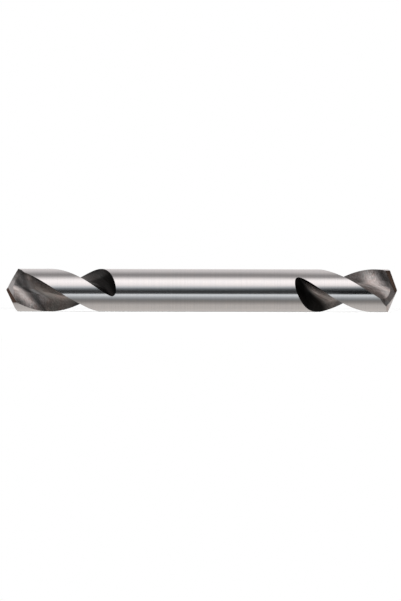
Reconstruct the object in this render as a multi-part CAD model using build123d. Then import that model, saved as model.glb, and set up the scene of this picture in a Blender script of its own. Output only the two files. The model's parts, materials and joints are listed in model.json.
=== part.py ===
from build123d import *
from math import asin, atan, cos, degrees, pi, radians, sin, sqrt, tan
import os

# A double-ended twist drill bit, ground from one round bar: the same two-flute
# cutting end at both ends and a plain shank between them. The bar lies along X,
# its middle is at the origin. Lengths are in millimetres and angles in degrees.

# The bar
overall_length = 84.0        # from one point to the other
drill_diameter = 9.2         # across the lands at the points
shank_diameter = 9.16        # a little less, so that the lands clear the hole's wall

# The flutes, which are right-handed at both ends
flute_lead = 45.2            # length in which a flute turns once round the bar
land_width = 77.0            # angle that one land takes, seen along the bar
left_flute_length = 23.8     # from the point to the far end of the run-out
right_flute_length = 22.1
left_end_turn = 15.2         # how far each end is turned about the bar
right_end_turn = 49.2
tip_web = 2.3                # thickness of the core between the flutes, at the point
web_rise = 0.035             # how much the core thickens for each millimetre of flute
wall_radius = 9.0            # hollow of both walls of a flute
wall_corner = 0.5            # from the axis to where the walls would meet in a corner
bottom_radius = 2.0          # the round that takes this corner's place
wheel_radius = 12.0          # the wheel that climbs out of the flute in the run-out
shank_margin = 0.8           # from the far end of a run-out to the shank

# The points
point_angle = 140.0          # between the two cutting lips
flank_tilt = 13.5            # how much a flank falls away behind its lip
flank_shift = 1.5            # from the axis to the tip of the cone that a flank lies on
lip_trim_length = 2.6        # from the point to where the trimmed lip leaves the flute
chisel_thickness = 0.5       # between the two lips, where they pass the axis
gash_depth = 0.55            # of the notch in front of each lip, at the axis
gash_fall_along = 24.0       # slope of the notch's floor along the lip
gash_fall_ahead = 40.0       # slope of the notch's floor away from the lip

# The flute's cutter is drawn in sections. They are this far apart, they reach this many
# times the bar's radius, and their walls turn by this angle. The last one is this far clear.
section_step = 1.2
section_overrun = 1.4
wall_arc = 38.0
clear_margin = 0.3

bar_radius = drill_diameter / 2
turn_rate = 360 / flute_lead
helix_angle = degrees(atan(pi * drill_diameter / flute_lead))
lip_slope = tan(radians(90 - point_angle / 2))
tool_reach = 3 * bar_radius


def on_section(x, along, ahead, turn):
    """A point at x whose two places across the bar are turned about its axis."""
    a = radians(turn)
    return Vector(x, along * cos(a) - ahead * sin(a), along * sin(a) + ahead * cos(a))


def half_web(x):
    """Half the core's thickness at x from the point."""
    return (tip_web + web_rise * x) / 2


def edge_angle(x):
    """The angle between a flute's cutting edge and the line that its rake wall lies along."""
    return degrees(asin(half_web(x) / bar_radius))


def flute_middle(x):
    """The direction of a flute's open middle, from the line of its rake wall."""
    return (land_width - 180) / 2 - edge_angle(x)


def hollow_centre(start, end, radius):
    """The centre of an arc from start to end, on its left-hand side."""
    chord = end - start
    half_arc = degrees(asin(chord.length / 2 / radius))
    return start + chord.normalized().rotate(Axis.Z, 90 - half_arc) * radius


def flute_walls(x):
    """Where the two walls meet at x, and the centres of the rake wall and the heel wall."""
    corner = Vector(wall_corner, -half_web(x))
    edge = Vector(bar_radius, 0).rotate(Axis.Z, -edge_angle(x))
    heel = edge.rotate(Axis.Z, land_width - 180)
    rake_centre = hollow_centre(edge, corner, wall_radius)
    heel_centre = hollow_centre(corner, heel, wall_radius)
    return corner, rake_centre, heel_centre


def clear_lift(x):
    """The lift at x at which a flute's heel wall only just touches the bar."""
    corner, rake_centre, heel_centre = flute_walls(x)
    return sqrt((bar_radius + wall_radius) ** 2 - heel_centre.Y**2) - heel_centre.X


def wheel_travel(lift):
    """How far along the bar the wheel goes while it climbs by this lift."""
    return sqrt(2 * wheel_radius * lift - lift**2) * cos(radians(helix_angle))


def wheel_lift(x, flute_length):
    """How far the wheel has climbed at x, to be clear of the bar at the flute's end."""
    start = flute_length - wheel_travel(clear_lift(flute_length))
    travel = max(x - start, 0) / cos(radians(helix_angle))
    return wheel_radius - sqrt(wheel_radius**2 - travel**2)


def flute_section(x, flute_length):
    """The flute's outline at x: two hollow walls that meet in a round at the bottom."""
    corner, rake_centre, heel_centre = flute_walls(x)
    round_centre = hollow_centre(rake_centre, heel_centre, wall_radius - bottom_radius)
    round_middle = round_centre + (corner - round_centre).normalized() * bottom_radius
    rake_foot = rake_centre + (round_centre - rake_centre).normalized() * wall_radius
    heel_foot = heel_centre + (round_centre - heel_centre).normalized() * wall_radius
    outside = Vector(section_overrun * bar_radius, 0).rotate(Axis.Z, flute_middle(x))
    turn = turn_rate * x + edge_angle(x)
    lift = wheel_lift(x, flute_length)

    def place(point):
        return on_section(x, point.X + lift, point.Y, turn)

    def arc(start, middle, end):
        return Edge.make_three_point_arc(place(start), place(middle), place(end))

    def along_wall(foot, centre, turned):
        return centre + (foot - centre).rotate(Axis.Z, turned)

    rake_middle = along_wall(rake_foot, rake_centre, -wall_arc / 2)
    rake_end = along_wall(rake_foot, rake_centre, -wall_arc)
    heel_middle = along_wall(heel_foot, heel_centre, wall_arc / 2)
    heel_end = along_wall(heel_foot, heel_centre, wall_arc)
    return Wire([arc(rake_foot, rake_middle, rake_end), arc(rake_end, outside, heel_end),
                 arc(heel_end, heel_middle, heel_foot), arc(heel_foot, round_middle, rake_foot)])


def flute_space(flute_length):
    """What the wheel grinds out of the bar for one flute, up to its run-out."""
    clear = clear_lift(flute_length)
    first = -section_step
    last = flute_length + wheel_travel(clear + clear_margin) - wheel_travel(clear)
    count = round((last - first) / section_step)
    places = [first + (last - first) * i / count for i in range(count + 1)]
    return Solid.make_loft([flute_section(x, flute_length) for x in places])


def lip_turn():
    """The direction of the first lip, as an angle about the bar's axis."""
    return turn_rate * lip_trim_length + degrees(asin(chisel_thickness / 2 / bar_radius))


def behind_flank():
    """All that lies behind one flank: a cone with its tip beside the bar, leaning back."""
    cone = Solid.make_cone(0, tool_reach / lip_slope, tool_reach, Plane.YZ)
    cone = cone.translate((-flank_shift * lip_slope, -flank_shift, 0))
    return cone.rotate(Axis.Y, flank_tilt).rotate(Axis.X, lip_turn())


def flank_space():
    """What is ground off the end of the bar for its two flanks."""
    end_block = Solid.make_cylinder(tool_reach / 2, tool_reach / 2, Plane.YZ)
    end_block = end_block.translate((-tool_reach / 4, 0, 0))
    flank = behind_flank()
    return end_block - (flank & flank.rotate(Axis.X, 180))


def gash_space():
    """The notch in front of one lip, which thins the core and trims the lip and a heel."""
    ahead_of_lip = Box(2 * tool_reach, 2 * tool_reach, tool_reach, align=(Align.CENTER,
                       Align.CENTER, Align.MAX))
    fall_along = tan(radians(gash_fall_along))
    fall_ahead = tan(radians(gash_fall_ahead))
    floor = Plane(origin=(gash_depth, 0, 0), x_dir=(fall_along, 1, 0),
                  z_dir=(-1, fall_along, -fall_ahead))
    above_floor = floor * Box(4 * tool_reach, 4 * tool_reach, tool_reach,
                              align=(Align.CENTER, Align.CENTER, Align.MIN))
    notch = ahead_of_lip & above_floor
    return notch.translate((0, 0, -chisel_thickness / 2)).rotate(Axis.X, lip_turn())


def end_spaces(flute_length):
    """All that is ground away at one end, whose point is at the origin."""
    flute = flute_space(flute_length)
    gash = gash_space()
    return [flank_space(), flute, flute.rotate(Axis.X, 180), gash, gash.rotate(Axis.X, 180)]


def blank():
    """The bar before grinding: a plain shank, and lands that widen towards the points."""
    half = overall_length / 2
    left = -half + left_flute_length + shank_margin
    right = half - right_flute_length - shank_margin
    shank_radius = shank_diameter / 2
    outline = Polyline((-half, 0), (-half, bar_radius), (left, shank_radius),
                       (right, shank_radius), (half, bar_radius), (half, 0), close=True)
    return revolve(make_face(outline), Axis.X)


def drill_bit():
    half = overall_length / 2
    bit = blank()
    for space in end_spaces(left_flute_length):
        bit -= space.rotate(Axis.X, left_end_turn).translate((-half, 0, 0))
    for space in end_spaces(right_flute_length):
        turned = space.rotate(Axis.X, right_end_turn).rotate(Axis.Z, 180)
        bit -= turned.translate((half, 0, 0))
    return bit


os.makedirs("parts", exist_ok=True)
export_step(drill_bit(), "parts/double_ended_drill_bit.step")
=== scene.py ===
import json
from math import cos, pi, radians, sin

import bpy
from mathutils import Matrix, Vector


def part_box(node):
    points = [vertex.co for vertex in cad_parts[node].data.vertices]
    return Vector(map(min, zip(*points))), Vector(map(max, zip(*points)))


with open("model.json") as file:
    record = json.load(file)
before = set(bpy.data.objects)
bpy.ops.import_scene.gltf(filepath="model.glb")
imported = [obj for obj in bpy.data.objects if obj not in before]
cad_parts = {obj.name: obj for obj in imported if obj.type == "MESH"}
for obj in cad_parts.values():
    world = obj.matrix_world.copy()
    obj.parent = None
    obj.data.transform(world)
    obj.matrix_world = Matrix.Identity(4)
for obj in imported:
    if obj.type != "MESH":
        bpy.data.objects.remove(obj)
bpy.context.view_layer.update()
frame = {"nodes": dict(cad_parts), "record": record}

# Lengths are in metres. This turns those that are written in millimetres into metres.
mm = 0.001

# Sizes of the bit, worked out from the frame
bit = frame["nodes"]["double_ended_drill_bit"]
low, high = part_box("double_ended_drill_bit")
bit_length = high[0] - low[0]
shank_radius = frame["record"]["mounts"][0]["dims"]["r_mm"] * mm

# The flutes, as the part's source has them. Angles are in degrees.
flute_lead = 45.2 * mm
left_end_turn = 15.2
right_end_turn = 49.2

# Where the trimmed lips lie
lip_turn = 23.8                  # from a flute's edge at the point to the lip
lip_length = 3.0 * mm            # from the point to where the lip has ended
lip_reach = 0.32 * mm            # from the axis to just past the lip's wall

# The wheels' marks: the streaks turn faster than the flutes, because they cross them
streak_lead = 13 * mm
streak_fineness = 9.0
fine_streak_fineness = 24.0
streak_change_outward = 100.0    # for each metre from the axis
ring_fineness = 3500.0
mottle_fineness = 650.0

# The steel's colours
land_cool = (0.56, 0.565, 0.58, 1)
land_warm = (0.63, 0.61, 0.60, 1)
land_ring = (0.30, 0.30, 0.31, 1)
flute_brown = (0.33, 0.26, 0.24, 1)
flute_green = (0.31, 0.33, 0.32, 1)
flute_streak = (0.47, 0.43, 0.42, 1)
flute_dark_line = (0.20, 0.17, 0.16, 1)
flute_bright_line = (0.66, 0.62, 0.61, 1)
flank_brown = (0.32, 0.25, 0.23, 1)
flank_grey = (0.38, 0.34, 0.32, 1)
# A painted highlight on the floor of the left notch
painted_notch_highlight = (0.70, 0.655, 0.645, 1)
lip_brown = (0.10, 0.065, 0.05, 1)
# black is what the flutes' painted shade darkens towards
black = (0, 0, 0, 1)

# The photograph's frame, in pixels, and where the camera sees the bit in it
photo_height = 601
pixels_per_metre = 4650          # at the bit's axis
camera_distance = 5 * bit_length
camera_roll = 0.108              # degrees, the right end lies a little lower
bit_right_of_centre = 0.25 * mm
bit_above_centre = 2.18 * mm


# Formulas for node materials

class Value:
    """What a node works out at each spot. Formulas of such values become math nodes."""

    def __init__(self, tree, socket):
        self.tree = tree
        self.socket = socket

    def math(self, operation, *others):
        made = node(self.tree, "ShaderNodeMath", operation=operation)
        for value, socket in zip((self, *others), made.inputs):
            plug(value, socket)
        return Value(self.tree, made.outputs[0])

    def __add__(self, other):
        return self.math("ADD", other)

    def __sub__(self, other):
        return self.math("SUBTRACT", other)

    def __rsub__(self, other):
        return self * -1.0 + other

    def __mul__(self, other):
        return self.math("MULTIPLY", other)

    def __truediv__(self, other):
        return self.math("DIVIDE", other)

    def __pow__(self, power):
        return self.math("POWER", power)

    def at_least(self, other):
        return self.math("MAXIMUM", other)

    __radd__ = __add__
    __rmul__ = __mul__


def new_nodes(owner):
    owner.use_nodes = True
    tree = owner.node_tree
    tree.nodes.clear()
    return tree


def node(tree, kind, **settings):
    made = tree.nodes.new(kind)
    for name, setting in settings.items():
        setattr(made, name, setting)
    return made


def plug(value, socket):
    """Link a socket to a value that nodes work out, or set it to a plain one."""
    if isinstance(value, Value):
        value.tree.links.new(value.socket, socket)
    else:
        socket.default_value = value


def read(tree, kind, output):
    """What a node of this kind knows about the spot or the ray."""
    return Value(tree, node(tree, kind).outputs[output])


def parts_of(vector):
    """A vector's x, y and z."""
    made = node(vector.tree, "ShaderNodeSeparateXYZ")
    plug(vector, made.inputs[0])
    return [Value(vector.tree, socket) for socket in made.outputs]


def joined(tree, *parts):
    """The vector with this x, y and z."""
    made = node(tree, "ShaderNodeCombineXYZ")
    for part, socket in zip(parts, made.inputs):
        plug(part, socket)
    return Value(tree, made.outputs[0])


def vector_math(operation, *vectors, result="Vector"):
    made = node(vectors[0].tree, "ShaderNodeVectorMath", operation=operation)
    for vector, socket in zip(vectors, made.inputs):
        plug(vector, socket)
    return Value(vectors[0].tree, made.outputs[result])


def step(value, start, end, before=0.0, after=1.0):
    """Goes smoothly from one number to another while the value goes from start to end."""
    made = node(value.tree, "ShaderNodeMapRange", interpolation_type="SMOOTHSTEP")
    plug(value, made.inputs["Value"])
    limits = {"From Min": start, "From Max": end, "To Min": before, "To Max": after}
    for name, limit in limits.items():
        plug(limit, made.inputs[name])
    return Value(value.tree, made.outputs[0])


def fall(value, start, end, before=1.0, after=0.0):
    """A step that goes down."""
    return step(value, start, end, before, after)


def between(share, first, second, kind="FLOAT"):
    """What lies at this share of the way between two numbers, vectors or colours."""
    made = node(share.tree, "ShaderNodeMix", data_type=kind)
    first_inputs_and_outputs = {"FLOAT": (2, 0), "VECTOR": (4, 1), "RGBA": (6, 2)}
    first_input, output = first_inputs_and_outputs[kind]
    plug(share, made.inputs[0])
    plug(first, made.inputs[first_input])
    plug(second, made.inputs[first_input + 1])
    return Value(share.tree, made.outputs[output])


def colour_between(share, first, second):
    return between(share, first, second, kind="RGBA")


def shader_between(share, first, second):
    """A node that mixes the shaders of two others."""
    made = node(share.tree, "ShaderNodeMixShader")
    plug(share, made.inputs[0])
    share.tree.links.new(first.outputs[0], made.inputs[1])
    share.tree.links.new(second.outputs[0], made.inputs[2])
    return made


def use_shader(tree, shader, kind="ShaderNodeOutputMaterial"):
    """Let this node's shader be the one that the material or the world has."""
    tree.links.new(shader.outputs[0], node(tree, kind).inputs[0])


def noise(place, scale, detail=3.0, roughness=0.6):
    made = node(place.tree, "ShaderNodeTexNoise")
    plug(place, made.inputs["Vector"])
    plug(scale, made.inputs["Scale"])
    plug(detail, made.inputs["Detail"])
    plug(roughness, made.inputs["Roughness"])
    return Value(place.tree, made.outputs["Fac"])


def shows_background(tree):
    """1 for the rays that see the plain white surroundings: camera, gloss and glass."""
    rays = [read(tree, "ShaderNodeLightPath", f"Is {name} Ray")
            for name in ("Camera", "Glossy", "Transmission")]
    return rays[0].at_least(rays[1]).at_least(rays[2])


# The steel

class Spot:
    """Where a spot lies on the bit, and which way it faces."""

    def __init__(self, tree):
        self.tree = tree
        self.place = read(tree, "ShaderNodeTexCoord", "Object")
        self.facing = read(tree, "ShaderNodeTexCoord", "Normal")
        self.x, self.y, self.z = parts_of(self.place)

        # How far it is from the axis, and in which direction: as an angle, then as a vector
        self.radius = (self.y * self.y + self.z * self.z).math("SQRT")
        self.direction = self.z.math("ARCTAN2", self.y)
        self.outward = vector_math("NORMALIZE", joined(tree, 0.0, self.y, self.z))

        # Which end it belongs to, how far it is from that point, and how far across a flute
        self.is_right = self.x.math("GREATER_THAN", 0.0)
        self.from_point = bit_length / 2 - self.x.math("ABSOLUTE")
        self.across = self.across_flute()

        # 1 where it faces along the bar, 0 where it faces across it
        self.faces_along = parts_of(self.facing)[0].math("ABSOLUTE")

    def turned_back(self, lead):
        """Its direction from the axis, without the turn of a helix with this lead."""
        return self.direction - self.x * (2 * pi / lead)

    def across_flute(self):
        """In degrees: 0 at a flute's cutting edge and about 103 at its heel."""
        turns = pi * bit_length / flute_lead
        left_edge = radians(left_end_turn) + turns
        right_edge = pi - radians(right_end_turn) - turns
        from_edge = self.turned_back(flute_lead) - between(self.is_right, left_edge, right_edge)
        return (self.x.math("SIGN") * from_edge).math("WRAP", pi, 0.0).math("DEGREES")


def bright_part(spot):
    """1 on the lands and the shank, which are ground bright and face straight out."""
    straight = vector_math("DOT_PRODUCT", spot.facing, spot.outward, result="Value")
    outside = step(spot.radius, shank_radius - 0.25 * mm, shank_radius - 0.2 * mm)
    return step(straight, 0.90, 0.95) * outside


def flanks(spot):
    """1 on the flanks of both points, which face along the axis."""
    return fall(spot.from_point, 5 * mm, 6 * mm) * step(spot.faces_along, 0.76, 0.80)


def trimmed_lips(spot):
    """1 on the trimmed walls of the lips, which face across the axis."""
    left_lip = radians(left_end_turn + lip_turn)
    right_lip = pi - radians(right_end_turn + lip_turn)
    lip_angle = between(spot.is_right, left_lip, right_lip)
    off_lip = spot.z * lip_angle.math("COSINE") - spot.y * lip_angle.math("SINE")
    on_wall = fall(off_lip.math("ABSOLUTE"), lip_reach, lip_reach + 0.04 * mm)
    near_point = fall(spot.from_point, lip_length, lip_length + 0.3 * mm)
    return on_wall * fall(spot.faces_along, 0.05, 0.09) * near_point


def left_notch_painted_highlight(spot):
    """1 on the floor of the notch at the left point, which the photograph shows pale."""
    # The paler colour that this mask puts on the notch floor is a painted highlight
    near_point = fall(spot.from_point, 3.5 * mm, 4.5 * mm)
    near_axis = fall(spot.radius, 1.6 * mm, 2.7 * mm)
    return (1 - spot.is_right) * step(spot.faces_along, 0.69, 0.71) * near_point * near_axis


def left_painted_shade(spot):
    """How much of their colour the flutes at the left end keep, under painted shade and a painted
    dark reflection.
    """
    # A painted dark reflection crosses the flute as a band. Towards the cutting edge it lies
    # further from the point.
    to_edge = (1 - spot.across / 100).at_least(0.0)
    past_band = spot.from_point - (3.9 + 1.9 * to_edge + 2.6 * to_edge**12) * mm
    off_band = (past_band / (1.6 * mm)).at_least(past_band / (-2.8 * mm))
    band = step(off_band, 0.0, 1.0, before=0.27)

    # Past the band painted shade keeps the rake wall dark, apart from a stretch beside the band
    wall = step(spot.across, 0.0, 45.0, before=0.22, after=0.74)
    stretch = fall(spot.from_point, 8.5 * mm, 10.5 * mm, before=0.7)
    stretch = stretch * step(spot.across, 1.0, 14.0, before=0.35)
    flute = band * between(step(past_band, 0.0, 1.5 * mm), 1.0, wall.at_least(stretch))

    # Painted shade makes the run-out darker still, and the heel's rim too
    pocket = step(spot.across, 62.0, 78.0, before=0.03, after=0.13)
    rim = fall(spot.radius, 3.6 * mm, 4.3 * mm, after=0.45)
    rim = rim.at_least(fall(spot.across, 85.0, 95.0))
    return between(step(spot.from_point, 12 * mm, 17.5 * mm), flute, pocket) * rim


def right_painted_shade(spot):
    """How much of their colour the flutes at the right end keep, under painted shade."""
    # Painted shade darkens the rake wall beside the lip, and again in the middle of its length
    beside_lip = step(spot.from_point, 3 * mm, 4.5 * mm, before=0.5)
    beside_lip = beside_lip.at_least(step(spot.across, 5.0, 12.0))
    rake = fall(spot.from_point, 5.2 * mm, 8.5 * mm, after=0.30) * beside_lip
    rake = between(step(spot.from_point, 11 * mm, 15.5 * mm), rake, 0.95)

    # Painted shade darkens the heel wall slowly away from the point, and at its own rim
    rim = fall(spot.across, 88.0, 100.0, after=0.5)
    rim = rim.at_least(fall(spot.from_point, 2.5 * mm, 3.5 * mm))
    heel = fall(spot.from_point, 6 * mm, 14 * mm, before=0.9, after=0.55) * rim
    flute = between(step(spot.across, 15.0, 40.0), rake, heel)

    # Painted shade makes the run-out nearly black past a line that slants across the flute
    slanted = spot.from_point + 0.045 * mm * spot.across
    return flute * fall(slanted, 18 * mm, 20.6 * mm, after=0.03)


class Marks:
    """The marks of the grinding wheels, as noise: rings on the bar, streaks in the flutes."""

    def __init__(self, spot):
        rings_place = joined(spot.tree, spot.x * ring_fineness, spot.y, spot.z)
        turned = spot.turned_back(streak_lead)
        streaks_place = joined(spot.tree, turned.math("COSINE"), turned.math("SINE"),
                               spot.radius * streak_change_outward)
        self.rings = noise(rings_place, 1.0)
        self.streaks = noise(streaks_place, streak_fineness)
        self.fine_streaks = noise(streaks_place, fine_streak_fineness)
        self.mottle = noise(spot.place, mottle_fineness, detail=4.0)


def land_colour(marks):
    plain = colour_between(marks.mottle, land_cool, land_warm)
    return colour_between(fall(marks.rings, 0.3, 0.6, before=0.14), plain, land_ring)


def flute_colour(spot, marks):
    colour = colour_between(step(marks.mottle, 0.35, 0.65), flute_brown, flute_green)
    colour = colour_between(step(marks.streaks, 0.3, 0.7), colour, flute_streak)
    dark_lines = step(marks.fine_streaks, 0.4, 0.65, after=0.5)
    colour = colour_between(dark_lines, colour, flute_dark_line)
    bright_lines = fall(marks.fine_streaks, 0.4, 0.5, before=0.3)
    colour = colour_between(bright_lines, colour, flute_bright_line)
    # Painted shade: the flutes' colour is darkened towards black by place, end by end
    painted_shade = between(spot.is_right, left_painted_shade(spot), right_painted_shade(spot))
    colour = colour_between(painted_shade, black, colour)
    return colour_between(left_notch_painted_highlight(spot), colour, painted_notch_highlight)


def flank_colour(marks):
    return colour_between(step(marks.mottle, 0.3, 0.7), flank_brown, flank_grey)


def round_normal(spot, bright):
    """The bright parts are round, so there the normal is the direction from the axis."""
    to_world = node(spot.tree, "ShaderNodeVectorTransform", vector_type="NORMAL",
                    convert_from="OBJECT", convert_to="WORLD")
    plug(spot.outward, to_world.inputs[0])
    outward = Value(spot.tree, to_world.outputs[0])
    own_normal = read(spot.tree, "ShaderNodeNewGeometry", "Normal")
    return between(bright, own_normal, outward, kind="VECTOR")


def steel():
    material = bpy.data.materials.new("ground_steel")
    tree = new_nodes(material)
    shader = node(tree, "ShaderNodeBsdfPrincipled")
    use_shader(tree, shader)
    spot = Spot(tree)
    marks = Marks(spot)
    bright = bright_part(spot)

    dull_colour = colour_between(flanks(spot), flute_colour(spot, marks), flank_colour(marks))
    dull_colour = colour_between(trimmed_lips(spot), dull_colour, lip_brown)
    bright_roughness = 0.10 + 0.06 * marks.rings
    dull_roughness = 0.22 + 0.2 * marks.streaks

    plug(1.0, shader.inputs["Metallic"])
    plug(colour_between(bright, dull_colour, land_colour(marks)), shader.inputs["Base Color"])
    plug(between(bright, dull_roughness, bright_roughness), shader.inputs["Roughness"])
    plug(round_normal(spot, bright), shader.inputs["Normal"])
    return material


bit.data.materials.clear()
bit.data.materials.append(steel())


# The floor

def floor():
    """Pale paper that keeps the bit's shadow, and turns white with the distance."""
    paper_colour = (0.8, 0.8, 0.8, 1)
    paper_glow = 0.24                # lifts the lit paper to white
    paper_end, white_start = 0.06, 0.30
    bpy.ops.mesh.primitive_plane_add(size=4.0, location=(0, 0, low[2]))
    plane = bpy.context.object
    plane.name = "floor"
    material = bpy.data.materials.new("floor")
    tree = new_nodes(material)
    paper = node(tree, "ShaderNodeBsdfDiffuse")
    plug(paper_colour, paper.inputs["Color"])
    glow = node(tree, "ShaderNodeEmission")
    plug(paper_glow, glow.inputs["Strength"])
    bright_paper = node(tree, "ShaderNodeAddShader")
    tree.links.new(paper.outputs[0], bright_paper.inputs[0])
    tree.links.new(glow.outputs[0], bright_paper.inputs[1])
    white = node(tree, "ShaderNodeEmission")
    position = read(tree, "ShaderNodeNewGeometry", "Position")
    from_bit = vector_math("LENGTH", position, result="Value")
    seen = shader_between(step(from_bit, paper_end, white_start), bright_paper, white)
    use_shader(tree, shader_between(shows_background(tree), paper, seen))
    plane.data.materials.append(material)


floor()


# The lights

def aim(thing, place):
    """Put a light or a panel here, with its face towards the bit."""
    thing.location = place
    thing.rotation_mode = "QUATERNION"
    thing.rotation_quaternion = (-Vector(place)).to_track_quat("-Z", "Y")


def main_light():
    """A soft strip along the bit, above the camera."""
    length, width = 1.2, 0.42
    distance, angle = 0.5, radians(50)
    surface_brightness = 1.6
    data = bpy.data.lights.new("main_light", "AREA")
    data.shape = "RECTANGLE"
    data.size = length
    data.size_y = width
    data.energy = surface_brightness * length * width * pi
    light = bpy.data.objects.new("main_light", data)
    bpy.context.scene.collection.objects.link(light)
    aim(light, (0, -distance * cos(angle), distance * sin(angle)))
    light.visible_camera = False
    light.visible_glossy = False


main_light()


def seen_in_reflections(surface, name):
    """Let only the metal's reflections see this surface. Gives its node tree and its glow."""
    surface.name = name
    surface.visible_camera = False
    surface.visible_diffuse = False
    surface.visible_shadow = False
    material = bpy.data.materials.new(surface.name)
    tree = new_nodes(material)
    glow = node(tree, "ShaderNodeEmission")
    use_shader(tree, glow)
    surface.data.materials.append(material)
    return tree, glow


def place_in_scene(tree):
    return parts_of(read(tree, "ShaderNodeNewGeometry", "Position"))


def by_stops(value, stops):
    """The brightness that follows stops of (value, brightness)."""
    first, last = stops[0][0], stops[-1][0]
    top = max(brightness for place, brightness in stops)
    made = node(value.tree, "ShaderNodeValToRGB")
    plug((value - first) / (last - first), made.inputs[0])
    elements = made.color_ramp.elements
    while len(elements) < len(stops):
        elements.new(0.5)
    for element, (place, brightness) in zip(elements, stops):
        element.position = (place - first) / (last - first)
        grey = brightness / top
        element.color = (grey, grey, grey, 1)
    return Value(value.tree, made.outputs[0]) * top


def tent():
    """The studio round the bit, by the angle up from the camera's side."""
    stops = [(0, 0.14), (7, 0.22), (13, 0.60), (28, 1.33), (46, 1.60), (57, 1.50), (71, 0.87),
             (79, 0.52), (86, 0.41), (95, 0.38), (112, 0.65), (125, 0.85), (180, 0.95)]
    cool, warm = (0.93, 1.00, 1.06, 1), (1.025, 0.975, 0.965, 1)
    bpy.ops.mesh.primitive_cylinder_add(vertices=128, radius=0.7, depth=3.0,
                                        end_fill_type="NOTHING", rotation=(0, pi / 2, 0))
    tree, glow = seen_in_reflections(bpy.context.object, "tent")
    x, y, z = place_in_scene(tree)
    angle = z.math("ARCTAN2", y * -1.0).math("DEGREES")

    # Towards the right it is darker low down, and its dark band overhead comes lower
    band_shift = 8.0
    low_right = step(x, 0.015, 0.08) * fall(angle, 5.0, 32.0)
    high_right = step(x, 0.040, 0.070) * step(angle, 55.0, 80.0)
    brightness = by_stops(angle + band_shift * high_right, stops) * (1 - 0.58 * low_right)
    plug(brightness, glow.inputs["Strength"])
    plug(colour_between(step(angle, 8.0, 30.0), cool, warm), glow.inputs["Color"])


def front_floor():
    """The floor in front of the bit as its lower half shows it, by the distance in mm."""
    stops = [(-3, 0.80), (1, 0.75), (3.3, 0.67), (4.2, 0.46), (4.9, 0.32), (6.0, 0.29),
             (7.5, 0.50), (9, 0.76), (10.5, 0.98), (12.3, 1.08), (13.8, 0.88), (14.9, 0.34),
             (16.6, 0.11), (22, 0.06)]
    warm, cool = (1.045, 0.985, 0.935, 1), (0.965, 1.0, 1.025, 1)
    near, far = -3 * mm, 0.70
    above_floor = 0.1 * mm
    middle = (0, -(near + far) / 2, low[2] + above_floor)
    bpy.ops.mesh.primitive_plane_add(size=1, location=middle)
    strip = bpy.context.object
    strip.scale = (3.0, far - near, 1)
    tree, glow = seen_in_reflections(strip, "front_floor")
    x, y = place_in_scene(tree)[:2]
    distance = y * -1000.0

    # At the right end its dark part begins nearer
    far_right = step(x, 0.028, 0.032) * step(distance, 13.6, 15.0)
    plug(by_stops(distance, stops) * (1 - 0.7 * far_right), glow.inputs["Strength"])
    plug(colour_between(step(distance, 4.8, 7.0), warm, cool), glow.inputs["Color"])


def side_glow(side):
    """A bright panel up and to one side, which the flutes show and the lands don't."""
    width, height = 0.36, 0.55
    place = (side * 0.42, -0.10, 0.52)
    brightness = 1.1
    bpy.ops.mesh.primitive_plane_add(size=1)
    panel = bpy.context.object
    panel.scale = (width, height, 1)
    aim(panel, place)
    tree, glow = seen_in_reflections(panel, "side_glow")
    plug(brightness, glow.inputs["Strength"])


def end_card(side):
    """A card past one end of the bit, dark below and paler higher up, by the height in mm."""
    stops = [(0, 0.08), (60, 0.20), (300, 0.60), (750, 0.60)]
    from_middle = 0.62
    bpy.ops.mesh.primitive_plane_add(size=1.5, location=(side * from_middle, 0, 0),
                                     rotation=(0, side * pi / 2, 0))
    tree, glow = seen_in_reflections(bpy.context.object, "end_card")
    height = place_in_scene(tree)[2] * 1000.0
    plug(by_stops(height, stops), glow.inputs["Strength"])


def end_floor(side):
    """Dark floor past one end of the bit."""
    from_middle = 0.335
    above_floor = 0.2 * mm
    brightness = 0.08
    middle = (side * from_middle, 0, low[2] + above_floor)
    bpy.ops.mesh.primitive_plane_add(size=0.56, location=middle)
    tree, glow = seen_in_reflections(bpy.context.object, "end_floor")
    plug(brightness, glow.inputs["Strength"])


tent()
front_floor()
for side in (-1, 1):
    side_glow(side)
    end_card(side)
    end_floor(side)


def surroundings():
    """White behind the scene, and a grey that fills in the light."""
    fill_grey = (0.62, 0.62, 0.62, 1)
    world = bpy.data.worlds.new("surroundings")
    bpy.context.scene.world = world
    tree = new_nodes(world)
    white = node(tree, "ShaderNodeBackground")
    plug((1, 1, 1, 1), white.inputs["Color"])
    fill = node(tree, "ShaderNodeBackground")
    plug(fill_grey, fill.inputs["Color"])
    seen = shader_between(shows_background(tree), fill, white)
    use_shader(tree, seen, kind="ShaderNodeOutputWorld")


surroundings()


# The camera looks along +Y, level, and its lens is worked out for a frame whose long side is
# upright

def camera():
    data = bpy.data.cameras.new("camera")
    half_height = photo_height / 2 / pixels_per_metre
    data.lens = data.sensor_width / 2 * camera_distance / half_height
    data.clip_start = 0.01
    data.clip_end = 20
    camera_object = bpy.data.objects.new("camera", data)
    bpy.context.scene.collection.objects.link(camera_object)
    upright = Matrix.Rotation(radians(90), 4, "X") @ Matrix.Rotation(radians(camera_roll), 4, "Z")
    place = Matrix.Translation((-bit_right_of_centre, -camera_distance, -bit_above_centre))
    camera_object.matrix_world = place @ upright
    bpy.context.scene.camera = camera_object


camera()
bpy.context.scene.view_settings.view_transform = "Standard"
